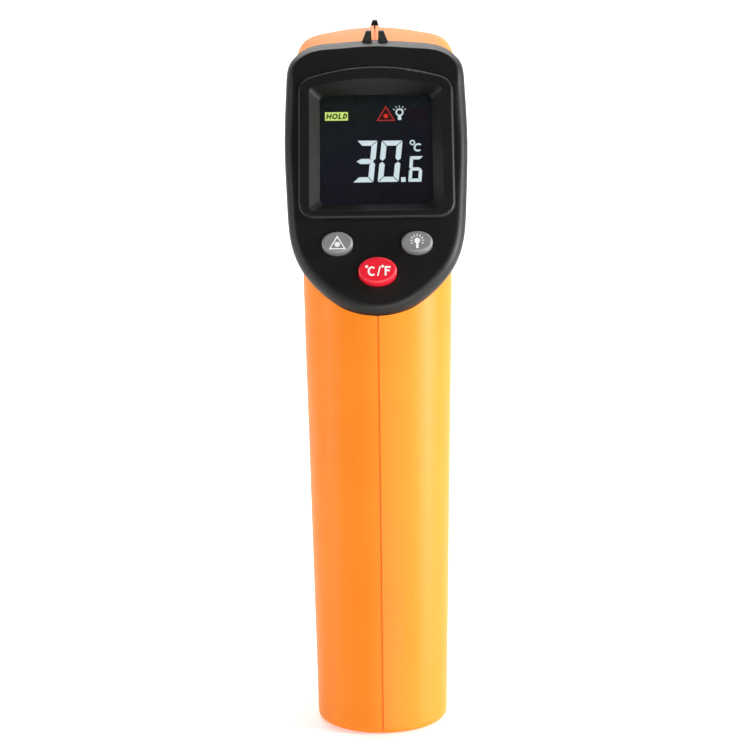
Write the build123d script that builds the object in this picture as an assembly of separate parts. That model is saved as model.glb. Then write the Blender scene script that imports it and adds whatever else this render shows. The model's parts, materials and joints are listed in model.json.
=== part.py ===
from build123d import *
import math
import os

# A pistol-grip infrared thermometer. Millimetres and degrees.
# +Z is up, +Y points at the target, +X is the user's right. The origin is the centre of the flat base.

# Overall form
BASE_DEPTH = 34.0
BASE_HALF_WIDTH = 14.8
GRIP_LEAN = 13.0
GRIP_TOP_HALF_WIDTH = 17.2
GRIP_WAIST = 2.0
GRIP_HEIGHT = 92.0
GRIP_TOP = 116.0
BASE_ROUND = 1.4
WALL = 2.0
FLOOR = 3.0

# Display bezel
FACE_TILT = 28.0
FACE_Y = 17.5
FACE_Z = 121.2
BEZEL_DEPTH = 8.0
SHOULDER_DEPTH = 3.0
SHOULDER_WIDTH = 2.3
SHOULDER_STEPS = 4
TOP_CRISPNESS = 0.26
BEZEL_WALL = 3.6
FRAME_HEIGHT = 1.0
RECESS_FLOOR = -2.6

# Head and nose
HEAD_HALF_WIDTH = 19.3
NOSE_JOINT_Y = 72.0
NOSE_FRONT_Y = 84.0
NOSE_HALF_WIDTH = 18.65
NOSE_TOP = 152.7
NOSE_BOTTOM = 113.0
LENS_Z = 129.0
LASER_Z = 143.4
RIB_HALF_WIDTH = 1.0
RIB_HEIGHT = 0.45

# Controls
BUTTON_GAP = 0.2
TRIGGER_Y = 41.5
TRIGGER_Z = 106.5
TRIGGER_HALF_WIDTH = 5.0
PLUNGER_Z = 96.5

# Battery bay, in the grip's own leaning frame
BATTERY_RADIUS = 5.25
BATTERY_LENGTH = 44.5
BATTERY_X = 5.6
BATTERY_Y = 3.6
BAY_BOTTOM = 12.5
BAY_TOP = 60.5
CONTACT = 0.4
DOOR_HALF_WIDTH = 11.0
DOOR_BOTTOM = 3.4
DOOR_TOP = 68.0
DOOR_GAP = 0.25
DOOR_PIVOT_Y = 15.2
DOOR_PIVOT_Z = 5.2
PIN_RADIUS = 0.8
PIN_PLAY = 0.05

SCREW_PLAY = 0.05

# Display stack, as depths behind the face
WINDOW_BACK = -4.8
LCD_FRONT = -5.0
LCD_BACK = -7.0
LIGHT_BACK = -10.2
BOARD_FRONT = -10.5
BOARD_BACK = -12.1
BOARD_SCREWS = ((-11.0, 26.9), (11.0, 26.9), (-13.5, -9.2), (13.5, -9.2))
BOARD_SCREW_RADIUS = 0.85

# Screws that hold the two shells together, as (y, z)
SHELL_SCREWS = ((1.4, 6.1), (16.5, 67.0), (62.0, 116.9), (46.0, 140.0))
SHELL_SCREW_RADIUS = 1.0

LEAN = math.radians(GRIP_LEAN)
TILT = math.radians(FACE_TILT)
TOP_CLIMB = math.tan(TILT + math.radians(3))
OVAL_STEPS = 16
SEAM_WIDTH = 0.35
SEAM_DEPTH = 0.35
X_AXIS = (1, 0, 0)

FACE = Plane(origin=(0, FACE_Y, FACE_Z), x_dir=X_AXIS, z_dir=(0, -math.cos(TILT), math.sin(TILT)))
GRIP = Plane(origin=(0, 0, 0), x_dir=X_AXIS, z_dir=(0, math.sin(LEAN), math.cos(LEAN)))


# ---------------------------------------------------------------- helpers

def save(name, shape):
    """Write one named piece."""
    shape.label = name
    export_step(shape, f"parts/{name}.step")


def group(shapes):
    """Several separate solids that share one node."""
    return Compound(children=list(shapes))


def on_face(height):
    """The plane parallel to the display face, that far out along its normal."""
    return FACE.offset(height)


def block(plane, x, y, z):
    """A box in a plane's own frame, from three (low, high) pairs."""
    centre = [(low + high) / 2 for low, high in (x, y, z)]
    size = [high - low for low, high in (x, y, z)]
    return plane * Pos(*centre) * Box(*size)


def rod_x(y, z, radius, low, high):
    """A cylinder along X."""
    return Plane(origin=(low, y, z), z_dir=X_AXIS) * extrude(Circle(radius), high - low)


def rod_y(x, z, radius, low, high):
    """A cylinder along Y."""
    return Plane(origin=(x, low, z), z_dir=(0, 1, 0)) * extrude(Circle(radius), high - low)


def cone_y(z, radius_low, radius_high, low, high):
    """A cone along Y on the symmetry plane, between two radii."""
    start = Plane(origin=(0, low, z), z_dir=(0, 1, 0)) * Circle(radius_low)
    end = Plane(origin=(0, high, z), z_dir=(0, 1, 0)) * Circle(radius_high)
    return loft([start, end])


def coil(plane, radius, wire, length, turns):
    """A helical spring standing on a plane, between two ends a wire radius in from its length."""
    rise = length - 2 * wire
    path = Helix(pitch=rise / turns, height=rise, radius=radius - wire)
    path = Pos(0, 0, wire) * path
    start = Plane(origin=path @ 0, z_dir=path % 0)
    return plane * sweep(start * Circle(wire), path=path)


def mirrored_face(right):
    """A smooth face, the same on both sides, through its right half's points from top to bottom."""
    edge = Spline(*right, tangents=[(1, 0), (-1, 0)], tangent_scalars=[1, 1])
    return make_face([edge, mirror(edge, Plane.YZ)])


def two_power_oval(half_width, up, down, power_up, power_down, centre=0.0, inset=0.0, sag=0.0):
    """An oval whose upper and lower halves are superellipses of their own power and height.

    Its upper half also falls away by sag from the middle to the sides.
    """
    points = []
    for k in range(OVAL_STEPS + 1):
        angle = math.pi / 2 - math.pi * k / OVAL_STEPS
        c, s = round(math.cos(angle), 12), round(math.sin(angle), 12)
        upper = s > 0
        power = power_up if upper else power_down
        reach = (up if upper else down) - inset
        spread = (1 + 2 / power) / 2
        across, rise = abs(c) ** spread, abs(s) ** spread
        size = (across ** power + rise ** power) ** (1 / power)
        x = across / size
        y = math.copysign(rise / size, s)
        fall = sag * x * x * (rise / size) if upper else 0.0
        points.append(((half_width - inset) * x, centre + reach * y - fall))
    return mirrored_face(points)


# ---------------------------------------------------------------- the grip and the head

def grip_back(z):
    return -BASE_DEPTH / 2 + z * math.tan(LEAN)


def grip_section(z, inset):
    """A level cut through the grip: nearly half round behind, flatter in front."""
    share = z / GRIP_HEIGHT
    half_width = BASE_HALF_WIDTH + (GRIP_TOP_HALF_WIDTH - BASE_HALF_WIDTH) * min(share, 1.0)
    depth = BASE_DEPTH - GRIP_WAIST * math.sin(math.pi * min(share, 1.0))
    round_back = 0.94 * half_width
    centre = grip_back(z) + round_back
    return Pos(0, 0, z) * two_power_oval(half_width, depth - round_back, round_back, 4.5, 2.0, centre, inset)


def grip_solid(inset=0.0, bottom=0.0):
    steps = 6
    levels = [bottom + (GRIP_TOP - bottom) * k / (steps - 1) for k in range(steps)]
    return loft([grip_section(z, inset) for z in levels])


def head_section_rear(inset):
    """The head where the bezel meets it: arched and square above, and a deep U below."""
    return two_power_oval(20.1, 30.1, 38.0, 6.0, 2.6, 8.0, inset, 2.4)


def head_solid(inset=0.0, overrun=0.0):
    """Lofted from the bezel's plane to the upright nose joint."""
    rear = on_face(-BEZEL_DEPTH + overrun) * head_section_rear(inset)
    half_tilt = TILT / 2
    middle_plane = Plane(origin=(0, 50.0, 129.0), x_dir=X_AXIS, z_dir=(0, -math.cos(half_tilt), math.sin(half_tilt)))
    middle = middle_plane * two_power_oval(HEAD_HALF_WIDTH, 24.0, 22.0, 9.0, 3.4, 0.0, inset, 1.4)
    return loft([rear, middle, nose_plane(NOSE_JOINT_Y + overrun) * nose_section(inset)])


def nose_plane(y):
    """An upright plane that looks back at the user, so that its own Y is up."""
    return Plane(origin=(0, y, 0), x_dir=X_AXIS, z_dir=(0, -1, 0))


def nose_section(inset, shrink=0.0):
    middle = (NOSE_TOP + NOSE_BOTTOM) / 2
    half = (NOSE_TOP - NOSE_BOTTOM) / 2
    return two_power_oval(NOSE_HALF_WIDTH, half, half, 9.3, 4.0, middle, inset + shrink, 3.2)


# ---------------------------------------------------------------- the bezel

def bezel_points():
    """Right half of the bezel's outline, from the top centre down to the bottom of the U."""
    return [
        (0.0, 33.9), (9.5, 33.3), (16.4, 31.9), (19.7, 29.2), (20.8, 24.0), (21.2, 10.0),
        (20.6, -5.0), (19.4, -15.3), (17.0, -20.9), (12.6, -26.0), (6.4, -30.4), (0.0, -31.8),
    ]


def ease(value, low, high):
    """A smooth step from 0 to 1 between two values."""
    share = min(max((value - low) / (high - low), 0.0), 1.0)
    return share * share * (3 - 2 * share)


def bezel_outline(inset=0.0, raise_top=0.0):
    """The outline moved inwards along its normals, with its top carried up by raise_top.

    The top edge takes only a small share of the inset, so that the face ends crisply there.
    """
    right = bezel_points()
    ring = right + [(-x, y) for x, y in reversed(right[1:-1])]
    points = []
    for k, (x, y) in enumerate(right):
        before = ring[k - 1]
        after = ring[k + 1]
        along = Vector(after[0] - before[0], after[1] - before[1]).normalized()
        lift = raise_top * ease(y, 12.0, 28.0)
        step = inset * (1 - (1 - TOP_CRISPNESS) * ease(y, 26.0, 31.5))
        points.append((x + along.Y * step, y - along.X * step + lift))
    return mirrored_face(points)


def bezel_edge():
    """The widest outline of the bezel, where its skirt meets its shoulder."""
    return on_face(-SHOULDER_DEPTH) * bezel_outline(0.0, SHOULDER_DEPTH * TOP_CLIMB)


def bezel_skirt():
    back = on_face(-BEZEL_DEPTH) * bezel_outline(0.9, BEZEL_DEPTH * TOP_CLIMB)
    return loft([back, bezel_edge()], ruled=True)


def bezel_outer():
    """The bezel without its hollow: a drafted skirt and a rounded shoulder, nearly level on top."""
    rounds = []
    for k in range(SHOULDER_STEPS + 1):
        angle = math.pi / 2 * k / SHOULDER_STEPS
        depth = SHOULDER_DEPTH * (1 - math.sin(angle))
        inset = SHOULDER_WIDTH * (1 - math.cos(angle))
        rounds.append(on_face(-depth) * bezel_outline(inset, depth * TOP_CLIMB))
    return bezel_skirt() + loft(rounds)


def arched_panel(half_width, bottom, shoulder, crown, corner):
    """A panel outline with square sides and a shallow arch along its top."""
    outline = [
        Line((-half_width, bottom), (half_width, bottom)),
        Line((half_width, bottom), (half_width, shoulder)),
        ThreePointArc((half_width, shoulder), (0, crown), (-half_width, shoulder)),
        Line((-half_width, shoulder), (-half_width, bottom)),
    ]
    panel = make_face(outline)
    return fillet(panel.vertices(), corner)


def button_places():
    """Name, centre on the face, half length, half height and crown height of each oval button."""
    return {
        "laser_button": ((-9.05, -15.45), 3.55, 2.6, 2.1),
        "backlight_button": ((9.05, -15.45), 3.55, 2.6, 2.1),
        "unit_button": ((0.0, -22.3), 4.35, 3.15, 2.7),
    }


def oval(centre, half_length, half_height, grow=0.0):
    return Pos(*centre) * Ellipse(half_length + grow, half_height + grow)


def rear_sights():
    """Two tapered ridges side by side on top of the bezel."""
    ridges = []
    for side in (-1, 1):
        foot = Plane(origin=(side * 2.1, 39.2, 150.2)) * Rectangle(2.8, 4.8)
        crest = Plane(origin=(side * 1.45, 39.2, 153.9)) * Rectangle(1.2, 4.0)
        ridges.append(loft([foot, crest]))
    return ridges


def display_bezel():
    shape = bezel_outer()
    plateau = arched_panel(18.0, -9.4, 24.6, 28.1, 4.0)
    raised = extrude(on_face(-1.0) * plateau, 1.0 + FRAME_HEIGHT)
    raised = fillet(raised.faces().sort_by(Axis(FACE.origin, FACE.z_dir))[-1].edges(), 0.8)
    shape += raised
    mouth = on_face(FRAME_HEIGHT) * arched_panel(15.4, -7.7, 22.7, 24.9, 1.2)
    window = on_face(RECESS_FLOOR) * arched_panel(13.05, -4.7, 22.1, 22.3, 1.4)
    shape -= loft([window, mouth], ruled=True)
    shape -= extrude(window, -10)
    shape -= extrude(on_face(-BEZEL_DEPTH - 1) * bezel_outline(3.0), BEZEL_DEPTH + 1 - BEZEL_WALL)
    for centre, half_length, half_height, _ in button_places().values():
        shape -= extrude(on_face(-BEZEL_DEPTH) * oval(centre, half_length, half_height, BUTTON_GAP), 12)
    for ridge in rear_sights():
        shape += ridge
    for x, y in BOARD_SCREWS:
        post = Pos(x, y) * Circle(1.9)
        bore = Pos(x, y) * Circle(BOARD_SCREW_RADIUS + SCREW_PLAY)
        shape += extrude(on_face(BOARD_FRONT) * post, -BEZEL_WALL - BOARD_FRONT)
        shape -= extrude(on_face(BOARD_FRONT - 1) * bore, 5.5)
    return shape


# ---------------------------------------------------------------- the two shells

def outer_body(inset=0.0, bottom=0.0):
    return grip_solid(inset, bottom) + head_solid(inset)


def rounded_outer_body():
    """The outer form with the edge of its base rounded."""
    grip = grip_solid()
    grip = fillet(grip.faces().sort_by(Axis.Z)[0].edges(), BASE_ROUND)
    return grip + head_solid()


def sighting_rib():
    """A low rib along the top of the head, from the bezel to the nose."""
    rear, middle, front = (42.4, 151.1), (56.0, 152.3), (NOSE_JOINT_Y, NOSE_TOP)
    top = [(y, z + RIB_HEIGHT) for y, z in (rear, middle, front)]
    root = [(y, z - WALL / 2) for y, z in (rear, middle, front)]
    outline = [ThreePointArc(*top), Polyline(top[-1], *reversed(root), top[0])]
    return extrude(Plane.YZ * make_face(outline), RIB_HALF_WIDTH, both=True)


def seam_groove():
    """A shallow groove round the plane where the two shells meet."""
    slab = block(Plane.XY, (-SEAM_WIDTH / 2, SEAM_WIDTH / 2), (-30, NOSE_JOINT_Y), (-1, 160))
    return slab - outer_body(SEAM_DEPTH, SEAM_DEPTH)


def bezel_pocket():
    """The space that the bezel fills, open outwards."""
    return bezel_skirt() + extrude(bezel_edge(), 20)


def door_window(gap):
    """The column in front of the battery bay that the door is cut from."""
    wide = DOOR_HALF_WIDTH + gap
    column = block(GRIP, (-wide, wide), (9, 30), (-10, DOOR_TOP + gap))
    return column & block(Plane.XY, (-20, 20), (0, 60), (DOOR_BOTTOM - gap, 100))


def trigger_slot():
    wide = TRIGGER_HALF_WIDTH + 0.4
    return block(Plane.XY, (-wide, wide), (30, 49.5), (79.0, 110.0))


def bulkhead():
    """A wall across the head that carries the lens barrel and the laser module."""
    wall = block(Plane.XY, (-20, 20), (61.0, 62.6), (110, 153))
    wall -= rod_y(0, LENS_Z, 9.05, 60, 64)
    return wall - rod_y(0, LASER_Z, 3.05, 60, 64)


def shell_posts():
    """Bosses for the shell screws, the trigger pin and the door pin."""
    posts = [rod_x(y, z, 2.4, -20, 20) for y, z in SHELL_SCREWS]
    for side in (-1, 1):
        low, high = sorted((side * (TRIGGER_HALF_WIDTH + 0.6), side * 20))
        posts.append(rod_x(TRIGGER_Y, TRIGGER_Z, 2.6, low, high))
        low, high = sorted((side * (DOOR_HALF_WIDTH + 0.3), side * 14))
        posts.append(rod_x(DOOR_PIVOT_Y, DOOR_PIVOT_Z, 2.0, low, high))
    return posts


def screw_solid(y, z, play=0.0):
    """A shell screw: its head sits deep in the left shell."""
    shaft = rod_x(y, z, SHELL_SCREW_RADIUS + play, -9.0, 7.0 + play)
    return shaft + rod_x(y, z, 1.9 + play, -10.6, -9.0)


def shells():
    outer = rounded_outer_body() + sighting_rib()
    hollow = grip_solid(WALL, FLOOR) + head_solid(WALL, 0.1)
    shape = outer - hollow
    for post in shell_posts():
        shape += post & outer
    shape += bulkhead() & outer
    shape -= bezel_pocket()
    shape -= seam_groove()
    shape -= door_window(DOOR_GAP)
    shape -= rod_x(DOOR_PIVOT_Y, DOOR_PIVOT_Z, 3.4, -DOOR_HALF_WIDTH - 0.25, DOOR_HALF_WIDTH + 0.25)
    shape -= rod_x(DOOR_PIVOT_Y, DOOR_PIVOT_Z, PIN_RADIUS + 0.03, -12.3, 12.3)
    shape -= trigger_slot()
    shape -= rod_x(TRIGGER_Y, TRIGGER_Z, 1.23, -9.1, 9.1)
    for y, z in SHELL_SCREWS:
        shape -= screw_solid(y, z, SCREW_PLAY)
        shape -= rod_x(y, z, 2.2, -25, -10.6)
    left = shape & block(Plane.XY, (-30, 0), (-40, 100), (-5, 160))
    right = shape & block(Plane.XY, (0, 30), (-40, 100), (-5, 160))
    return left, right


def shell_screws():
    """The screws, each with a cross recess in its head."""
    screws = []
    for y, z in SHELL_SCREWS:
        screw = screw_solid(y, z)
        for long_y, long_z in ((1.2, 0.3), (0.3, 1.2)):
            screw -= block(Plane.XY, (-11.0, -9.8), (y - long_y, y + long_y), (z - long_z, z + long_z))
        screws.append(screw)
    return group(screws)


# ---------------------------------------------------------------- display, board and buttons

def face_block(x, y, z):
    return block(FACE, x, y, z)


def display_window():
    return face_block((-14.7, 14.7), (-5.9, 24.0), (WINDOW_BACK, -BEZEL_WALL))


def lcd_panel():
    return face_block((-14.5, 14.5), (-5.7, 23.8), (LCD_BACK, LCD_FRONT))


def lcd_backlight():
    return face_block((-13.5, 13.5), (-3.2, 21.4), (LIGHT_BACK, LCD_BACK - 0.05))


def elastomer_strips():
    rows = ((-5.6, -3.7), (21.8, 23.7))
    return group(face_block((-12, 12), row, (BOARD_FRONT, LCD_BACK)) for row in rows)


def main_board():
    outline = Polyline(
        (-15.3, 29.2), (15.3, 29.2), (15.3, -10.6), (6.5, -26.0), (-6.5, -26.0), (-15.3, -10.6), close=True
    )
    shape = extrude(on_face(BOARD_BACK) * make_face(outline), BOARD_FRONT - BOARD_BACK)
    for x, y in BOARD_SCREWS:
        shape -= extrude(on_face(BOARD_BACK - 1) * Pos(x, y) * Circle(1.0), 4)
    return shape


def board_screws():
    screws = []
    for x, y in BOARD_SCREWS:
        shaft = extrude(on_face(BOARD_BACK) * Pos(x, y) * Circle(BOARD_SCREW_RADIUS), 5.0)
        head = extrude(on_face(BOARD_BACK) * Pos(x, y) * Circle(1.7), -1.2)
        screws.append(shaft + head)
    return group(screws)


def board_chips():
    """The controller, memory, crystal and connectors on the back of the board."""
    places = (
        ((-5.5, 5.5), (2.0, 13.0), 1.5),
        ((-12.5, -8.0), (5.0, 10.0), 1.3),
        ((8.5, 12.5), (3.0, 6.0), 1.2),
        ((8.0, 13.0), (9.0, 19.0), 2.2),
        ((-12.0, -6.0), (16.0, 20.0), 3.5),
        ((-4.0, 4.0), (-13.0, -10.0), 3.5),
    )
    return group(face_block(x, y, (BOARD_BACK - tall, BOARD_BACK)) for x, y, tall in places)


def tact_switches():
    bodies = []
    for centre, _, _, _ in button_places().values():
        body = extrude(on_face(BOARD_FRONT) * Pos(*centre) * Rectangle(5.4, 5.4), 2.3)
        body -= extrude(on_face(BOARD_FRONT + 0.1) * Pos(*centre) * Circle(1.3), 4)
        bodies.append(body)
    return group(bodies)


def button_cap(centre, half_length, half_height, height):
    """An oval cap with a rounded crown, and the wider flange that keeps it behind the bezel."""
    foot = on_face(-BEZEL_WALL - 1.2)
    cap = extrude(foot * oval(centre, half_length, half_height), BEZEL_WALL + 1.2 + height)
    crown = cap.faces().sort_by(Axis(FACE.origin, FACE.z_dir))[-1]
    cap = fillet(crown.edges(), 0.7)
    return cap + extrude(foot * oval(centre, half_length, half_height, 0.9), 1.15)


def switch_stem(centre):
    return extrude(on_face(-9.7) * Pos(*centre) * Circle(1.2), 9.7 - BEZEL_WALL - 1.2)


# ---------------------------------------------------------------- nose, optics and laser

def nose_cap():
    back = nose_plane(NOSE_JOINT_Y) * nose_section(0)
    front = nose_plane(NOSE_FRONT_Y) * nose_section(0, 1.7)
    shape = loft([back, front], ruled=True)
    shape = fillet(shape.faces().sort_by(Axis.Y)[-1].edges(), 1.6)
    tongue = nose_plane(69.0) * nose_section(2.15)
    shape += extrude(tongue, -3.0)
    shape -= extrude(nose_plane(68.0) * nose_section(3.6), -12.0)
    shape += rod_y(0, LENS_Z, 10.3, NOSE_JOINT_Y, 80.5)
    shape += rod_y(0, LASER_Z, 4.5, NOSE_JOINT_Y, 80.5)
    shape -= rod_y(0, LENS_Z, 9.05, 70.0, 80.0)
    shape -= cone_y(LENS_Z, 7.9, 9.6, 80.0, NOSE_FRONT_Y)
    shape -= rod_y(0, LASER_Z, 3.05, 70.0, 76.0)
    shape -= rod_y(0, LASER_Z, 1.7, 75.0, 85.0)
    shape -= rod_y(0, LASER_Z, 2.6, 82.8, 85.0)
    return shape + front_sight()


def front_sight():
    foot = Plane(origin=(0, 77.0, 150.6)) * Rectangle(3.4, 7.0)
    crest = Plane(origin=(0, 77.6, 154.2)) * Rectangle(1.1, 4.4)
    return loft([foot, crest])


def lens_barrel():
    shape = rod_y(0, LENS_Z, 9.0, 56.0, 78.0)
    shape -= cone_y(LENS_Z, 4.9, 7.6, 56.0, 77.0)
    return shape - rod_y(0, LENS_Z, 8.45, 77.0, 78.0)


def fresnel_lens():
    return rod_y(0, LENS_Z, 8.4, 77.0, 77.9)


def lens_ring():
    return rod_y(0, LENS_Z, 8.98, 78.0, 80.0) - rod_y(0, LENS_Z, 7.8, 77.0, 81.0)


def sensor_holder():
    return rod_y(0, LENS_Z, 9.0, 52.4, 56.0) - rod_y(0, LENS_Z, 4.65, 52.0, 57.0)


def thermopile_sensor():
    """A round metal can with a base flange and four leads through its board."""
    shape = rod_y(0, LENS_Z, 4.0, 52.4, 55.9) + rod_y(0, LENS_Z, 4.6, 51.6, 52.4)
    for x, z in ((-1.8, -1.8), (1.8, -1.8), (-1.8, 1.8), (1.8, 1.8)):
        shape += rod_y(x, LENS_Z + z, 0.23, 48.8, 51.8)
    return shape


def sensor_board():
    shape = block(Plane.XY, (-8, 8), (50.0, 51.4), (LENS_Z - 8, LENS_Z + 8))
    for x, z in ((-1.8, -1.8), (1.8, -1.8), (-1.8, 1.8), (1.8, 1.8)):
        shape -= rod_y(x, LENS_Z + z, 0.35, 49, 52)
    return shape


def laser_module():
    """A brass tube with a narrower aperture boss at its front."""
    shape = rod_y(0, LASER_Z, 3.0, 57.5, 75.9)
    return shape - rod_y(0, LASER_Z, 1.5, 72.0, 76.5)


def laser_window():
    return rod_y(0, LASER_Z, 2.55, 82.8, 83.5)


# ---------------------------------------------------------------- trigger

def trigger():
    """A curved finger lever that swings on a pin near its top."""
    outline = [
        Polyline((45.0, 85.5), (44.9, 83.5), (43.0, 81.3), (40.5, 80.6), (34.0, 81.0), (34.6, 101.0)),
        Line((34.6, 101.0), (37.2, 107.5)),
        ThreePointArc((37.2, 107.5), (40.2, 110.2), (44.0, 109.0)),
        Line((44.0, 109.0), (50.2, 104.6)),
        ThreePointArc((50.2, 104.6), (46.0, 95.5), (45.0, 85.5)),
    ]
    shape = extrude(Plane.YZ * make_face(outline), TRIGGER_HALF_WIDTH, both=True)
    middles = [(edge, edge.center()) for edge in shape.edges()]
    front = [edge for edge, spot in middles if spot.Y > 43.0 and abs(spot.X) > 1 and spot.Z < 104]
    shape = fillet(front, 1.2)
    return shape - rod_x(TRIGGER_Y, TRIGGER_Z, 1.25, -8, 8)


def trigger_pin():
    return rod_x(TRIGGER_Y, TRIGGER_Z, 1.2, -9.0, 9.0)


def trigger_spring():
    seat = Plane(origin=(0, 24.55, 86.0), x_dir=X_AXIS, z_dir=(0, 1, 0))
    return coil(seat, 2.3, 0.25, 9.3, 6)


def trigger_carrier():
    """The bracket between the shells that backs the spring and the switch board."""
    return block(Plane.XY, (-14.0, 14.0), (21.0, 24.5), (82.0, 100.0))


def trigger_board():
    return block(Plane.XY, (-6.0, 6.0), (24.5, 26.1), (PLUNGER_Z - 5.0, PLUNGER_Z + 3.5))


def trigger_switch():
    shape = block(Plane.XY, (-3.1, 3.1), (26.1, 31.0), (PLUNGER_Z - 3.1, PLUNGER_Z + 3.1))
    return shape - rod_y(0, PLUNGER_Z, 1.75, 27.0, 32.0)


def switch_plunger():
    return rod_y(0, PLUNGER_Z, 1.7, 29.2, 34.1)


# ---------------------------------------------------------------- battery bay and door

def grip_rod(x, y, radius, low, high):
    """A cylinder along the grip."""
    return GRIP * Pos(x, y, low) * extrude(Circle(radius), high - low)


def battery_door():
    """A panel cut from the grip's front wall, with ribs, a hinge barrel and a snap tab."""
    wall = rounded_outer_body() - grip_solid(WALL, -2.0)
    shape = wall & door_window(0.0)
    barrel = rod_x(DOOR_PIVOT_Y, DOOR_PIVOT_Z, 1.7, -DOOR_HALF_WIDTH, DOOR_HALF_WIDTH)
    web = block(Plane.XY, (-DOOR_HALF_WIDTH, DOOR_HALF_WIDTH), (DOOR_PIVOT_Y, 17.2), (DOOR_PIVOT_Z, 6.8))
    shape += barrel + web
    for x in (-6.0, 6.0):
        rib = block(GRIP, (x - 0.6, x + 0.6), (10.4, 15.5), (16.0, 62.0))
        shape += rib & (rounded_outer_body() & door_window(0.0))
    return shape - rod_x(DOOR_PIVOT_Y, DOOR_PIVOT_Z, PIN_RADIUS + PIN_PLAY, -15, 15)


def door_pin():
    return rod_x(DOOR_PIVOT_Y, DOOR_PIVOT_Z, PIN_RADIUS, -12.2, 12.2)


def battery_tray():
    """A cradle behind the two cells, with an end wall at the top and the bottom."""
    shape = block(GRIP, (-12, 12), (-3.2, 4.0), (BAY_BOTTOM, BAY_TOP))
    for side in (-1, 1):
        shape -= grip_rod(side * BATTERY_X, BATTERY_Y, BATTERY_RADIUS + 0.2, BAY_BOTTOM - 1, BAY_TOP + 1)
    for low, high in ((BAY_BOTTOM - 3, BAY_BOTTOM), (BAY_TOP, BAY_TOP + 3)):
        shape += block(GRIP, (-12, 12), (-3.2, 8.4), (low, high))
    return shape


def battery(x, nub_up):
    """A round cell with a raised contact at one end."""
    can = 43.7
    nub = BATTERY_LENGTH - can
    start = BAY_TOP - CONTACT - BATTERY_LENGTH if nub_up else BAY_BOTTOM + CONTACT
    low = start if nub_up else start + nub
    shape = fillet(grip_rod(x, BATTERY_Y, BATTERY_RADIUS, low, low + can).edges(), 0.4)
    nub_low = low + can if nub_up else start
    return shape + grip_rod(x, BATTERY_Y, 1.9, nub_low, nub_low + nub)


def battery_contacts():
    plates = []
    for x in (-BATTERY_X, BATTERY_X):
        for low in (BAY_BOTTOM, BAY_TOP - CONTACT):
            plates.append(block(GRIP, (x - 3.6, x + 3.6), (0.2, 7.2), (low, low + CONTACT)))
    return group(plates)


def battery_springs():
    length = BAY_TOP - BAY_BOTTOM - 2 * CONTACT - BATTERY_LENGTH
    low = GRIP * Plane(origin=(-BATTERY_X, BATTERY_Y, BAY_BOTTOM + CONTACT))
    high = GRIP * Plane(origin=(BATTERY_X, BATTERY_Y, BAY_TOP - CONTACT - length))
    return group([coil(low, 3.2, 0.3, length, 2.5), coil(high, 3.2, 0.3, length, 2.5)])


# ---------------------------------------------------------------- every piece, by name

def all_pieces():
    left, right = shells()
    pieces = {
        "shell_left": left,
        "shell_right": right,
        "shell_screws": shell_screws(),
        "display_bezel": display_bezel(),
        "display_window": display_window(),
        "lcd_panel": lcd_panel(),
        "lcd_backlight": lcd_backlight(),
        "elastomer_strips": elastomer_strips(),
        "main_board": main_board(),
        "board_screws": board_screws(),
        "board_chips": board_chips(),
        "tact_switches": tact_switches(),
        "nose_cap": nose_cap(),
        "lens_barrel": lens_barrel(),
        "fresnel_lens": fresnel_lens(),
        "lens_ring": lens_ring(),
        "sensor_holder": sensor_holder(),
        "thermopile_sensor": thermopile_sensor(),
        "sensor_board": sensor_board(),
        "laser_module": laser_module(),
        "laser_window": laser_window(),
        "trigger": trigger(),
        "trigger_pin": trigger_pin(),
        "trigger_spring": trigger_spring(),
        "trigger_carrier": trigger_carrier(),
        "trigger_board": trigger_board(),
        "trigger_switch": trigger_switch(),
        "switch_plunger": switch_plunger(),
        "battery_door": battery_door(),
        "door_pin": door_pin(),
        "battery_tray": battery_tray(),
        "battery_left": battery(-BATTERY_X, True),
        "battery_right": battery(BATTERY_X, False),
        "battery_contacts": battery_contacts(),
        "battery_springs": battery_springs(),
    }
    for name, (centre, half_length, half_height, height) in button_places().items():
        pieces[name] = button_cap(centre, half_length, half_height, height)
        pieces[name.replace("button", "stem")] = switch_stem(centre)
    return pieces


if __name__ == "__main__":
    os.makedirs("parts", exist_ok=True)
    for piece_name, piece in all_pieces().items():
        save(piece_name, piece)
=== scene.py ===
import bpy
import bmesh
import json
import math
from mathutils import Matrix, Vector


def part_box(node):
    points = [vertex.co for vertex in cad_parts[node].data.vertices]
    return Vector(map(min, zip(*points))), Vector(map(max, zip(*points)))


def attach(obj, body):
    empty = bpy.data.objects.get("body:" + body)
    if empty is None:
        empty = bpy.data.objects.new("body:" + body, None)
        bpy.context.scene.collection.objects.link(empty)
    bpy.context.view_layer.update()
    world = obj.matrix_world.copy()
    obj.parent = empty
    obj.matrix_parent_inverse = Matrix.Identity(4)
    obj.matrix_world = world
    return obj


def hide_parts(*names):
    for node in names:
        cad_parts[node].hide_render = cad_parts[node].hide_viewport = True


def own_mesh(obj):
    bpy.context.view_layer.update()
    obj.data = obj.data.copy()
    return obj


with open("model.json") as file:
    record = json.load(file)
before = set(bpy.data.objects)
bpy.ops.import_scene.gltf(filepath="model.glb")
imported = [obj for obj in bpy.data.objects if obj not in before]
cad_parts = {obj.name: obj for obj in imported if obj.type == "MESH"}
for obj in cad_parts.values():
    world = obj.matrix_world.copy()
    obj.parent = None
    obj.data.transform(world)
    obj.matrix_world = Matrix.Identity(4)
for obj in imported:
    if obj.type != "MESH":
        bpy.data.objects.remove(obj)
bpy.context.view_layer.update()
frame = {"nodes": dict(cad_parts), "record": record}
NODES = frame["nodes"]
MM = 0.001

# Artwork on the display and the buttons, in mm: how thick it is, how far each layer stands off
# its surface, how deep ink sinks into a button, and how near two points are to be one
ARTWORK_THICKNESS = 0.04
ARTWORK_LIFT = 0.02
LASER_SIGN_LIFT = 0.03
WORD_LIFT = 0.05
INK_SINK = 0.005
WELD = 0.004

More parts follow.
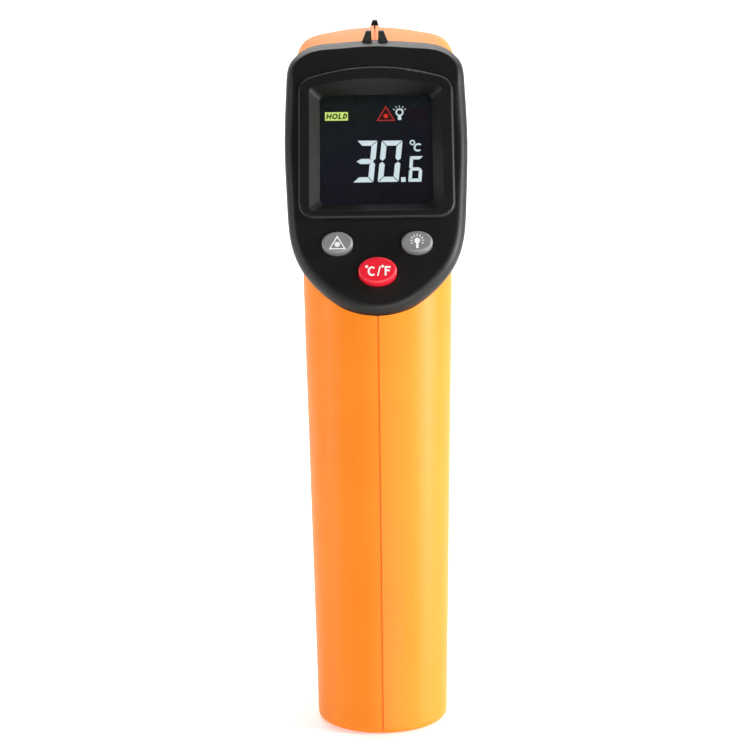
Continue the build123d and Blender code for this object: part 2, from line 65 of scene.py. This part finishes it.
# How far the reading leans to the right, as a share of its height
SLANT = 0.105

# Relief that bump adds over a piece's own grain, in metres
FLOW_MARK_DEPTH = 0.00004
SCRATCH_DEPTH = 0.00001

# The trigger's return spring: its wire's radius, its turns, the steps to each turn and the sides of its
# wire
COIL_WIRE = 0.25 * MM
COIL_TURNS = 6
COIL_STEPS = 20
COIL_SIDES = 8

# Stage in metres: a floor that bends up into a wall, with the glow of the floor and of the world
FLOOR_HALF_WIDTH = 4.0
FLOOR_FRONT = -4.0
WALL = 1.6
BEND = 0.5
BEND_STEPS = 16
WALL_TOP = 2.5
FLOOR_GLOW = 0.35
WORLD_GLOW = 0.12

# Lights, as (name, location, target, (width, height), power in watts)
MIDDLE = (0, 0.02, 0.08)
LIGHTS = (
    ("key", (0.73, -0.12, 0.27), MIDDLE, (0.2, 0.5), 8),
    ("front", (0.25, -0.75, 0.04), MIDDLE, (0.5, 0.2), 3.6),
    ("fill", (-0.66, -0.10, 0.24), MIDDLE, (0.12, 0.6), 1.8),
    ("top", (0.1, 0.35, 0.7), MIDDLE, (0.7, 0.4), 2.4),
    ("backdrop", (0.0, 1.5, 1.9), (0.0, 1.5, 0.0), (2.5, 0.8), 45),
)

# Camera: where it looks and from which way, in metres, degrees and millimetres of lens
LOOK_AT = (-0.0009, 0.020, 0.0751)
CAMERA_AZIMUTH = -0.12
CAMERA_ELEVATION = 12.33
CAMERA_ROLL = 0.71
CAMERA_DISTANCE = 0.520
CAMERA_LENS = 106.4
CAMERA_SENSOR = 36


# ---------------------------------------------------------------- places read from the frame

def centre(node):
    """The middle of a CAD node's box."""
    low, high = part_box(node)
    return (Vector(low) + Vector(high)) / 2


def joint(name):
    """A joint's entry in the record."""
    return next(j for j in frame["record"]["behaviour"]["joints"] if j["name"] == name)


FACE_OUT = -Vector(joint("laser_press")["axis"]).normalized()
FACE_RIGHT = Vector((1, 0, 0))
FACE_UP = FACE_OUT.cross(FACE_RIGHT)


def face_matrix(origin):
    """Local X across the display face, Y up along it and Z out of it."""
    turn = Matrix((FACE_RIGHT, FACE_UP, FACE_OUT)).transposed().to_4x4()
    return Matrix.Translation(origin) @ turn


def reach(node, direction):
    """How far a CAD node's own vertices reach along a direction from the row's origin."""
    return max(v.co.dot(direction) for v in NODES[node].data.vertices)


def face_point(node):
    """The middle of a node's front, on the plane that faces out of the display."""
    spot = centre(node)
    return spot + FACE_OUT * (reach(node, FACE_OUT) - spot.dot(FACE_OUT))


# ---------------------------------------------------------------- material helpers

def new_material(name):
    """A material with its nodes, its links and its main shader."""
    mat = bpy.data.materials.new(name)
    mat.use_nodes = True
    return mat, mat.node_tree.nodes, mat.node_tree.links, mat.node_tree.nodes["Principled BSDF"]


def noise(nodes, links, scale, detail=2.0, roughness=0.5):
    """A noise texture in the row's own metres, with its scale in features per metre."""
    place = nodes.new("ShaderNodeTexCoord")
    tex = nodes.new("ShaderNodeTexNoise")
    tex.inputs["Scale"].default_value = scale
    tex.inputs["Detail"].default_value = detail
    tex.inputs["Roughness"].default_value = roughness
    links.new(place.outputs["Object"], tex.inputs["Vector"])
    return tex


def ramp(nodes, links, source, stops):
    """A colour ramp over a value, from (position, colour) stops."""
    node = nodes.new("ShaderNodeValToRGB")
    elements = node.color_ramp.elements
    while len(elements) < len(stops):
        elements.new(0.5)
    for element, (position, colour) in zip(elements, stops):
        element.position = position
        element.color = (*colour, 1)
    links.new(source, node.inputs["Fac"])
    return node.outputs["Color"]


def remap(nodes, links, source, low, high):
    """A value from 0 to 1, spread between low and high."""
    node = nodes.new("ShaderNodeMapRange")
    node.inputs["To Min"].default_value = low
    node.inputs["To Max"].default_value = high
    links.new(source, node.inputs["Value"])
    return node.outputs["Result"]


def add_bump(nodes, links, shader, layers):
    """Bumps one over another, from (height source, depth in metres, strength)."""
    last = None
    for height, depth, strength in layers:
        bump = nodes.new("ShaderNodeBump")
        bump.inputs["Distance"].default_value = depth
        bump.inputs["Strength"].default_value = strength
        links.new(height, bump.inputs["Height"])
        if last:
            links.new(last, bump.inputs["Normal"])
        last = bump.outputs["Normal"]
    links.new(last, shader.inputs["Normal"])


def moulded(name, dark, light, rough, grain_mm, grain_depth, specular=0.5):
    """Moulded plastic with a fine spark-eroded grain, faint flow marks and uneven gloss.

    Its colour drifts between dark and light, and its grain's size and depth are in mm.
    """
    mat, nodes, links, shader = new_material(name)
    cloud = noise(nodes, links, 45, 3.0)
    grain = noise(nodes, links, 1 / (grain_mm * MM), 3.0, 0.6)
    wave = noise(nodes, links, 120, 1.0)
    colour = ramp(nodes, links, cloud.outputs["Fac"], ((0.3, dark), (0.7, light)))
    gloss = remap(nodes, links, cloud.outputs["Fac"], rough - 0.05, rough + 0.06)
    links.new(colour, shader.inputs["Base Color"])
    links.new(gloss, shader.inputs["Roughness"])
    shader.inputs["Specular IOR Level"].default_value = specular
    add_bump(nodes, links, shader, (
        (wave.outputs["Fac"], FLOW_MARK_DEPTH, 0.25),
        (grain.outputs["Fac"], grain_depth * MM, 0.8),
    ))
    return mat


def metal(name, colour, rough, grain_mm=0.15):
    """Plated or turned metal with fine scratches and uneven polish."""
    mat, nodes, links, shader = new_material(name)
    cloud = noise(nodes, links, 300, 3.0)
    grain = noise(nodes, links, 1 / (grain_mm * MM), 4.0, 0.7)
    dull = tuple(c * 0.82 for c in colour)
    tint = ramp(nodes, links, cloud.outputs["Fac"], ((0.3, dull), (0.7, colour)))
    polish = remap(nodes, links, grain.outputs["Fac"], rough - 0.08, rough + 0.1)
    links.new(tint, shader.inputs["Base Color"])
    links.new(polish, shader.inputs["Roughness"])
    shader.inputs["Metallic"].default_value = 1.0
    add_bump(nodes, links, shader, ((grain.outputs["Fac"], SCRATCH_DEPTH, 0.4),))
    return mat


def clear_window(name):
    """Clear acrylic, nearly see-through, with faint smears in its gloss."""
    mat, nodes, links, shader = new_material(name)
    smear = noise(nodes, links, 90, 3.0)
    dark, light = (0.004, 0.004, 0.006), (0.006, 0.006, 0.009)
    tint = ramp(nodes, links, smear.outputs["Fac"], ((0.3, dark), (0.7, light)))
    links.new(tint, shader.inputs["Base Color"])
    links.new(remap(nodes, links, smear.outputs["Fac"], 0.06, 0.12), shader.inputs["Roughness"])
    shader.inputs["Alpha"].default_value = 0.18
    add_bump(nodes, links, shader, ((smear.outputs["Fac"], SCRATCH_DEPTH, 0.1),))
    return mat


def across_display(nodes, links):
    """A value from 0 at the panel's lower right corner to 1 at its upper left."""
    place = nodes.new("ShaderNodeTexCoord")
    low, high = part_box("lcd_panel")
    across = nodes.new("ShaderNodeVectorMath")
    across.operation = "DOT_PRODUCT"
    slope = Vector((-0.45, 0, 1)).normalized()
    across.inputs[1].default_value = slope
    links.new(place.outputs["Object"], across.inputs[0])
    spread = nodes.new("ShaderNodeMapRange")
    spread.inputs["From Min"].default_value = Vector((high[0], 0, low[2])).dot(slope)
    spread.inputs["From Max"].default_value = Vector((low[0], 0, high[2])).dot(slope)
    links.new(across.outputs["Value"], spread.inputs["Value"])
    return spread.outputs["Result"]


def display_glass(name):
    """The unlit panel: green at its upper left, navy in the middle and violet at its foot."""
    mat, nodes, links, shader = new_material(name)
    spread = across_display(nodes, links)
    blotch = noise(nodes, links, 220, 3.0)
    mixed = nodes.new("ShaderNodeMath")
    mixed.operation = "MULTIPLY_ADD"
    mixed.inputs[1].default_value = 0.16
    links.new(blotch.outputs["Fac"], mixed.inputs[0])
    links.new(spread, mixed.inputs[2])
    glow = ramp(nodes, links, mixed.outputs["Value"], (
        (0.10, (0.010, 0.007, 0.014)),
        (0.36, (0.011, 0.011, 0.022)),
        (0.66, (0.011, 0.015, 0.026)),
        (0.98, (0.010, 0.022, 0.014)),
    ))
    shader.inputs["Base Color"].default_value = (0.006, 0.006, 0.009, 1)
    links.new(remap(nodes, links, blotch.outputs["Fac"], 0.22, 0.34), shader.inputs["Roughness"])
    links.new(glow, shader.inputs["Emission Color"])
    shader.inputs["Emission Strength"].default_value = 0.42
    return mat


def lit_segment(name, colour, strength):
    """A lit display segment with a barely visible pixel grain."""
    mat, nodes, links, shader = new_material(name)
    grain = noise(nodes, links, 2500, 2.0)
    dim = tuple(c * 0.88 for c in colour)
    glow = ramp(nodes, links, grain.outputs["Fac"], ((0.3, dim), (0.7, colour)))
    links.new(glow, shader.inputs["Emission Color"])
    shader.inputs["Base Color"].default_value = (*(c * 0.2 for c in colour), 1)
    shader.inputs["Emission Strength"].default_value = strength
    shader.inputs["Roughness"].default_value = 0.5
    return mat


def printed_ink(name, colour):
    """Pad-printed ink, matt and slightly uneven."""
    mat, nodes, links, shader = new_material(name)
    grain = noise(nodes, links, 5000, 2.0)
    dim = tuple(c * 0.9 for c in colour)
    tint = ramp(nodes, links, grain.outputs["Fac"], ((0.3, dim), (0.7, colour)))
    links.new(tint, shader.inputs["Base Color"])
    links.new(remap(nodes, links, grain.outputs["Fac"], 0.4, 0.55), shader.inputs["Roughness"])
    add_bump(nodes, links, shader, ((grain.outputs["Fac"], SCRATCH_DEPTH, 0.3),))
    return mat


MATERIALS = {
    "body_plastic": moulded(
        "orange_plastic", (0.91, 0.235, 0.012), (0.95, 0.255, 0.016),
        rough=0.42, grain_mm=0.30, grain_depth=0.012, specular=0.22),
    "bezel_plastic": moulded(
        "black_plastic", (0.0030, 0.0030, 0.0024), (0.0042, 0.0042, 0.0034),
        rough=0.44, grain_mm=0.28, grain_depth=0.060, specular=0.36),
    "clear_window": clear_window("window_acrylic"),
    "display_glass": display_glass("display_panel"),
    "white_diffuser": moulded(
        "white_diffuser", (0.78, 0.78, 0.76), (0.84, 0.84, 0.82),
        rough=0.35, grain_mm=0.5, grain_depth=0.005),
    "rubber_strip": moulded(
        "strip_rubber", (0.6, 0.56, 0.54), (0.7, 0.66, 0.64),
        rough=0.7, grain_mm=0.2, grain_depth=0.01),
    "circuit_board": moulded(
        "solder_mask", (0.012, 0.14, 0.05), (0.02, 0.2, 0.08),
        rough=0.3, grain_mm=0.8, grain_depth=0.01),
    "inner_plastic": moulded(
        "inner_black", (0.025, 0.025, 0.025), (0.04, 0.04, 0.04),
        rough=0.5, grain_mm=0.3, grain_depth=0.012),
    "screw_steel": metal("dark_zinc_screw", (0.30, 0.30, 0.31), rough=0.5),
    "spring_steel": metal("nickel_spring", (0.72, 0.71, 0.7), rough=0.25),
    "sensor_can": metal("sensor_nickel", (0.75, 0.74, 0.7), rough=0.22),
    "brass_tube": metal("turned_brass", (0.72, 0.52, 0.22), rough=0.28),
    "cell_jacket": moulded(
        "cell_jacket", (0.02, 0.022, 0.03), (0.03, 0.032, 0.045),
        rough=0.25, grain_mm=0.6, grain_depth=0.004),
    "grey_button": moulded(
        "grey_button", (0.185, 0.19, 0.185), (0.205, 0.21, 0.205),
        rough=0.42, grain_mm=0.25, grain_depth=0.008),
    "red_button": moulded(
        "red_button", (0.72, 0.008, 0.022), (0.76, 0.011, 0.028),
        rough=0.38, grain_mm=0.25, grain_depth=0.008),
}
WHITE_INK = printed_ink("white_ink", (0.86, 0.86, 0.85))
LIT_WHITE = lit_segment("lit_white", (0.72, 0.86, 0.92), 1.25)
LIT_YELLOW = lit_segment("lit_yellow", (0.72, 0.92, 0.22), 1.25)
LIT_RED = lit_segment("lit_red", (0.50, 0.04, 0.035), 1.0)
LIT_HOT = lit_segment("lit_hot_red", (0.85, 0.05, 0.03), 1.0)
DARK_RED = lit_segment("unlit_red", (0.035, 0.004, 0.004), 0.8)
DARK_GREEN = lit_segment("unlit_green", (0.006, 0.011, 0.007), 0.8)
DARK_MAROON = lit_segment("unlit_maroon", (0.012, 0.004, 0.009), 0.8)
DARK_INK = lit_segment("dark_letters", (0.03, 0.07, 0.012), 0.8)


# ---------------------------------------------------------------- flat shapes, in millimetres

def plate(name, polygons, origin, material, body, thickness=ARTWORK_THICKNESS):
    """Thin raised artwork on a plane that faces as the display does."""
    mesh = bpy.data.meshes.new(name)
    piece = bpy.data.objects.new(name, mesh)
    bpy.context.collection.objects.link(piece)
    bm = bmesh.new()
    for polygon in polygons:
        bm.faces.new([bm.verts.new((x * MM, y * MM, 0)) for x, y in polygon])
    bmesh.ops.remove_doubles(bm, verts=bm.verts, dist=WELD * MM)
    grown = bmesh.ops.extrude_face_region(bm, geom=bm.faces[:])
    lifted = [g for g in grown["geom"] if isinstance(g, bmesh.types.BMVert)]
    bmesh.ops.translate(bm, verts=lifted, vec=(0, 0, thickness * MM))
    bmesh.ops.recalc_face_normals(bm, faces=bm.faces)
    bmesh.ops.transform(bm, matrix=face_matrix(origin), verts=bm.verts)
    bm.to_mesh(mesh)
    bm.free()
    mesh.materials.append(material)
    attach(piece, body)


def strip(points, width, closed=False):
    """A band of even width along a line of points."""
    points = [Vector(p) for p in points]
    count = len(points)
    sides = []
    for k, point in enumerate(points):
        before = points[k - 1] if closed or k else points[k]
        after = points[(k + 1) % count] if closed or k < count - 1 else points[k]
        both = [point - before, after - point]
        steps = [step.normalized() for step in both if step.length > 1e-9]
        across = sum((Vector((-s.y, s.x)) for s in steps), Vector((0, 0))).normalized()
        stretch = 1 / max(across.dot(Vector((-steps[0].y, steps[0].x))), 0.4)
        reach_out = across * width / 2 * stretch
        sides.append((point + reach_out, point - reach_out))
    pairs = list(zip(sides, sides[1:] + sides[:1])) if closed else list(zip(sides, sides[1:]))
    return [(a[0], a[1], b[1], b[0]) for a, b in pairs]


def arc(x, y, radius, start, end, steps=24, squash=1.0):
    """Points along an arc, with its angles in degrees."""
    angles = [math.radians(start + (end - start) * k / steps) for k in range(steps + 1)]
    return [(x + radius * math.cos(a), y + radius * squash * math.sin(a)) for a in angles]


def ring(x, y, radius, width, squash=1.0):
    """A round band, or an oval one if squash isn't 1."""
    return strip(arc(x, y, radius, 0, 360, 32, squash)[:-1], width, True)


def disc(x, y, radius, steps=28):
    """A filled round spot."""
    return [arc(x, y, radius, 0, 360, steps)[:-1]]


def rectangle(left, bottom, right, top):
    """An upright box."""
    return [[(left, bottom), (right, bottom), (right, top), (left, top)]]


def slanted(polygons, slope, base=0.0):
    """The same shapes, leaning to the right above a base line."""
    return [[(x + (y - base) * slope, y) for x, y in polygon] for polygon in polygons]


def seven_segment(shown, left, bottom, width, height, bar, gap=0.13):
    """Mitred seven-segment bars, named a to g clockwise from the top with g in the middle."""
    right, top, middle = left + width, bottom + height, bottom + height / 2
    half = bar / 2
    outer_left, outer_right = left + gap, right - gap
    inner_left, inner_right = left + bar + gap, right - bar - gap
    tip = half * 0.4
    bars = {
        "a": [(outer_left, top), (outer_right, top),
              (inner_right, top - bar), (inner_left, top - bar)],
        "d": [(outer_left, bottom), (inner_left, bottom + bar),
              (inner_right, bottom + bar), (outer_right, bottom)],
        "g": [(left + tip + gap, middle), (inner_left, middle + half), (inner_right, middle + half),
              (right - tip - gap, middle), (inner_right, middle - half), (inner_left, middle - half)],
    }
    for upper, lower, x, turn in (("f", "e", left, 1), ("b", "c", right, -1)):
        inside = x + turn * bar
        notch = x + turn * half
        bars[upper] = [(x, top - gap), (inside, top - bar - gap), (inside, middle + half + gap),
                       (notch, middle + gap), (x, middle + half * 0.8 + gap)]
        bars[lower] = [(x, bottom + gap), (inside, bottom + bar + gap), (inside, middle - half - gap),
                       (notch, middle - gap), (x, middle - half * 0.8 - gap)]
    return [bars[name] for name in shown]


def letter_c(x, y, radius, width, squash=1.0):
    """A round letter, open to the right."""
    return strip(arc(x, y, radius, 48, 312, 22, squash), width)


def letter_f(left, bottom, width, height, bar):
    """A letter of one upright and two strokes, the lower one shorter."""
    top = bottom + height
    crossing = bottom + height * 0.45
    return (
        rectangle(left, bottom, left + bar, top)
        + rectangle(left + bar, top - bar, left + width, top)
        + rectangle(left + bar, crossing, left + width * 0.85, crossing + bar)
    )


def bulb(x, y, radius, filled, width, drop):
    """A lamp sign: a round glass on a neck that reaches drop radii below its middle."""
    half = radius * 0.42
    neck = [(x - half, y - radius * 0.94), (x - half, y - radius * drop),
            (x + half, y - radius * drop), (x + half, y - radius * 0.94)]
    glass = disc(x, y, radius) if filled else ring(x, y, radius - width / 2, width)
    return glass, [neck]


def rays(x, y, inner, outer, width, start, end, count):
    """Short radial strokes, evenly fanned between two angles."""
    strokes = []
    for k in range(count):
        angle = math.radians(start + (end - start) * k / (count - 1))
        c, s = math.cos(angle), math.sin(angle)
        strokes += strip([(x + inner * c, y + inner * s), (x + outer * c, y + outer * s)], width)
    return strokes


# ---------------------------------------------------------------- display artwork

DISPLAY = face_point("lcd_panel") + FACE_OUT * ARTWORK_LIFT * MM


def show(name, polygons, material):
    """Lit or unlit artwork straight on the display."""
    plate(name, polygons, DISPLAY, material, "housing")


def reading():
    """The digits, in mm from the display's middle."""
    tens = seven_segment("abcdg", left=-5.5, bottom=-7.55, width=4.75, height=10.3, bar=1.25)
    ones = seven_segment("abcdef", left=0.25, bottom=-7.5, width=4.85, height=10.2, bar=1.25)
    tenths = seven_segment("acdefg", left=7.35, bottom=-7.55, width=3.05, height=6.3, bar=0.78, gap=0.05)
    point = rectangle(5.7, -7.55, 6.75, -6.4)
    return (
        slanted(tens, SLANT, -7.55)
        + slanted(ones, SLANT, -7.5)
        + slanted(tenths, SLANT * 0.75, -7.55)
        + point
    )


def laser_sign_on_display():
    """A lit triangle with a dot, over its own dark fill."""
    triangle = [(0.4, 7.75), (4.3, 7.75), (2.35, 11.2)]
    show("laser_triangle_fill", [triangle], DARK_RED)
    edge = DISPLAY + FACE_OUT * LASER_SIGN_LIFT * MM
    plate("laser_triangle", strip(triangle, 0.3, True), edge, LIT_RED, "housing")
    plate("laser_dot", disc(2.35, 8.85, 0.55), edge, LIT_HOT, "housing")


def lamp_sign_on_display():
    """A lamp with rays above it."""
    glass, neck = bulb(5.55, 9.75, radius=0.95, filled=False, width=0.36, drop=2.0)
    show("lamp_glass", glass, LIT_WHITE)
    show("lamp_neck", neck, LIT_WHITE)
    fan = rays(5.55, 9.75, inner=1.2, outer=1.75, width=0.16, start=30, end=150, count=5)
    show("lamp_rays", fan, LIT_WHITE)


def display_artwork():
    """Everything that the display shows, apart from the word on its box."""
    show("digits", reading(), LIT_WHITE)
    show("degree_ring", ring(8.45, 2.15, 0.5, 0.3), LIT_WHITE)
    show("degree_letter", slanted(letter_c(9.75, 0.95, 0.82, 0.42), SLANT, 0.95), LIT_WHITE)
    show("hold_box", rectangle(-11.85, 7.85, -6.5, 9.95), LIT_YELLOW)
    show("unlit_green_box", rectangle(-5.9, 8.0, -0.5, 9.8), DARK_GREEN)
    show("unlit_maroon_box", rectangle(7.4, 7.75, 12.2, 10.8), DARK_MAROON)
    laser_sign_on_display()
    lamp_sign_on_display()


def hold_word():
    """The generic word for a held reading, dark on its lit box."""
    bar, low, high = 0.33, 8.2, 9.6
    middle = (low + high) / 2
    word = []
    for x in (-11.35, -10.55):
        word += rectangle(x - bar / 2, low, x + bar / 2, high)
    word += rectangle(-11.18, middle - bar / 2, -10.72, middle + bar / 2)
    word += ring(-9.55, middle, 0.5, bar, 1.08)
    word += rectangle(-8.7, low, -8.7 + bar, high)
    word += rectangle(-8.37, low, -7.85, low + bar)
    word += rectangle(-7.65, low, -7.65 + bar, high)
    word += strip(arc(-7.4, middle, 0.53, -90, 90, 12), bar)
    origin = DISPLAY + FACE_OUT * WORD_LIFT * MM
    leaning = slanted(word, 0.2, low + 0.5)
    plate("hold_word", leaning, origin, DARK_INK, "housing", thickness=0.02)


# ---------------------------------------------------------------- signs printed on the buttons

def sign(name, polygons, button, body, thickness=ARTWORK_THICKNESS):
    """White ink on the crown of a button, sunk a hair so that it never floats."""
    crown = face_point(button) - FACE_OUT * INK_SINK * MM
    plate(name, polygons, crown, WHITE_INK, body, thickness)


def laser_button_sign():
    """A triangle with a dot in it."""
    triangle = [(-1.72, -1.3), (1.72, -1.3), (0.0, 1.6)]
    sign("laser_sign", strip(triangle, 0.26, True), "laser_button", "laser_key")
    sign("laser_sign_dot", disc(0.0, -0.28, 0.6), "laser_button", "laser_key")


def backlight_button_sign():
    """A filled lamp in a fan of rays, its neck a hair thinner so that no two faces coincide."""
    glass, neck = bulb(0.0, 0.4, radius=0.66, filled=True, width=0, drop=2.7)
    fan = rays(0.0, 0.4, inner=1.05, outer=1.6, width=0.2, start=-25, end=205, count=9)
    sign("lamp_sign", glass, "backlight_button", "backlight_key")
    sign("lamp_sign_neck", neck, "backlight_button", "backlight_key", thickness=0.035)
    sign("lamp_sign_rays", fan, "backlight_button", "backlight_key")


def unit_button_sign():
    """The two unit signs, with a stroke between them."""
    legend = disc(-2.45, 1.0, 0.34)
    legend += letter_c(-1.25, -0.1, 0.76, 0.42, 1.21)
    legend += [[(-0.12, -1.2), (0.2, -1.2), (0.72, 1.05), (0.4, 1.05)]]
    legend += disc(1.12, 1.05, 0.32)
    legend += letter_f(1.6, -1.15, 1.35, 2.2, 0.42)
    sign("unit_sign", legend, "unit_button", "unit_key")


def button_signs():
    """The signs printed on the three buttons."""
    laser_button_sign()
    backlight_button_sign()
    unit_button_sign()


# ---------------------------------------------------------------- the trigger's return spring

def coil_ring(bm, spot, outward):
    """The wire's round section at one place along the coil, as a ring of points."""
    along = Vector((0, COIL_WIRE, 0))
    across = outward * COIL_WIRE
    angles = [math.tau * k / COIL_SIDES for k in range(COIL_SIDES)]
    return [bm.verts.new(spot + across * math.cos(a) + along * math.sin(a)) for a in angles]


def coil_mesh(name, foot, radius, rise):
    """A helical wire that climbs along Y from its foot."""
    steps = COIL_TURNS * COIL_STEPS
    bm = bmesh.new()
    rings = []
    for k in range(steps + 1):
        turn = math.tau * k / COIL_STEPS
        outward = Vector((math.cos(turn), 0, math.sin(turn)))
        spot = foot + Vector((0, rise * k / steps, 0)) + outward * radius
        rings.append(coil_ring(bm, spot, outward))
    for first, second in zip(rings, rings[1:]):
        for k in range(COIL_SIDES):
            after = (k + 1) % COIL_SIDES
            bm.faces.new((first[k], first[after], second[after], second[k]))
    bm.faces.new(rings[0])
    bm.faces.new(rings[-1])
    bmesh.ops.recalc_face_normals(bm, faces=bm.faces)
    mesh = bpy.data.meshes.new(name)
    bm.to_mesh(mesh)
    bm.free()
    mesh.shade_smooth()
    return mesh


def trigger_coil():
    """The spring behind the trigger, drawn as a coiled wire fixed to the housing in place of its CAD
    node.
    """
    low, high = (Vector(corner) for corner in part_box("trigger_spring"))
    foot = Vector(((low.x + high.x) / 2, low.y + COIL_WIRE, (low.z + high.z) / 2))
    radius = (high.x - low.x) / 2 - COIL_WIRE
    rise = high.y - low.y - 2 * COIL_WIRE
    mesh = coil_mesh("trigger_coil", foot, radius, rise)
    mesh.materials.append(MATERIALS["spring_steel"])
    piece = bpy.data.objects.new("trigger_coil", mesh)
    bpy.context.collection.objects.link(piece)
    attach(piece, "housing")
    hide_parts("trigger_spring")
    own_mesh(piece)


# ---------------------------------------------------------------- CAD nodes that stay

def dress_frame():
    """Gives every CAD node its slot's material."""
    slots = {s["node"]: s["material_slot"] for s in frame["record"]["subparts"]}
    for node, obj in NODES.items():
        obj.data.materials.clear()
        obj.data.materials.append(MATERIALS[slots[node]])


# ---------------------------------------------------------------- stage, light and camera

def area_light(name, location, target, size, power):
    """A rectangular white light, turned to face a target."""
    data = bpy.data.lights.new(name, "AREA")
    data.shape = "RECTANGLE"
    data.size, data.size_y = size
    data.energy = power
    lamp = bpy.data.objects.new(name, data)
    bpy.context.collection.objects.link(lamp)
    lamp.location = location
    lamp.rotation_euler = (Vector(target) - Vector(location)).to_track_quat("-Z", "Y").to_euler()


def sweep_profile():
    """A level floor that curves up into a wall well behind the object, as (y, z) points."""
    angles = [math.pi / 2 * k / BEND_STEPS for k in range(BEND_STEPS + 1)]
    curve = [(WALL - BEND + BEND * math.sin(a), BEND - BEND * math.cos(a)) for a in angles]
    return [(FLOOR_FRONT, 0.0), (-1.0, 0.0), (0.0, 0.0)] + curve + [(WALL, WALL_TOP)]


def make_stage():
    """The pale sweep that the object stands on."""
    mesh = bpy.data.meshes.new("floor")
    floor = bpy.data.objects.new("floor", mesh)
    bpy.context.collection.objects.link(floor)
    bm = bmesh.new()
    edges = (-FLOOR_HALF_WIDTH, FLOOR_HALF_WIDTH)
    rows = [[bm.verts.new((x, y, z)) for x in edges] for y, z in sweep_profile()]
    for (a, b), (c, d) in zip(rows, rows[1:]):
        bm.faces.new((a, b, d, c)).smooth = True
    bm.to_mesh(mesh)
    bm.free()
    mat, nodes, links, shader = new_material("pale_floor")
    cloud = noise(nodes, links, 3, 2.0)
    dark, light = (0.90, 0.90, 0.90), (0.92, 0.92, 0.92)
    pale = ramp(nodes, links, cloud.outputs["Fac"], ((0.3, dark), (0.7, light)))
    links.new(pale, shader.inputs["Base Color"])
    links.new(pale, shader.inputs["Emission Color"])
    shader.inputs["Emission Strength"].default_value = FLOOR_GLOW
    shader.inputs["Roughness"].default_value = 0.6
    mesh.materials.append(mat)


def make_lights():
    """A dim white surround and the studio lights."""
    world = bpy.data.worlds.new("studio")
    bpy.context.scene.world = world
    world.use_nodes = True
    background = world.node_tree.nodes["Background"]
    background.inputs["Color"].default_value = (1, 1, 1, 1)
    background.inputs["Strength"].default_value = WORLD_GLOW
    for name, location, target, size, power in LIGHTS:
        area_light(name, location, target, size, power)
    bpy.context.scene.view_settings.view_transform = "Standard"


def make_camera():
    """A long lens behind the grip, looking slightly down at the display."""
    azimuth = math.radians(CAMERA_AZIMUTH)
    elevation = math.radians(CAMERA_ELEVATION)
    roll = Matrix.Rotation(-math.radians(CAMERA_ROLL), 4, "Z").to_quaternion()
    level = math.cos(elevation)
    forward = Vector((math.sin(azimuth) * level, math.cos(azimuth) * level, -math.sin(elevation)))
    data = bpy.data.cameras.new("camera")
    data.sensor_width = CAMERA_SENSOR
    data.lens = CAMERA_LENS
    camera = bpy.data.objects.new("camera", data)
    bpy.context.collection.objects.link(camera)
    camera.location = Vector(LOOK_AT) - forward * CAMERA_DISTANCE
    camera.rotation_mode = "QUATERNION"
    camera.rotation_quaternion = forward.to_track_quat("-Z", "Y") @ roll
    bpy.context.scene.camera = camera


dress_frame()
display_artwork()
hold_word()
button_signs()
trigger_coil()
make_stage()
make_lights()
make_camera()
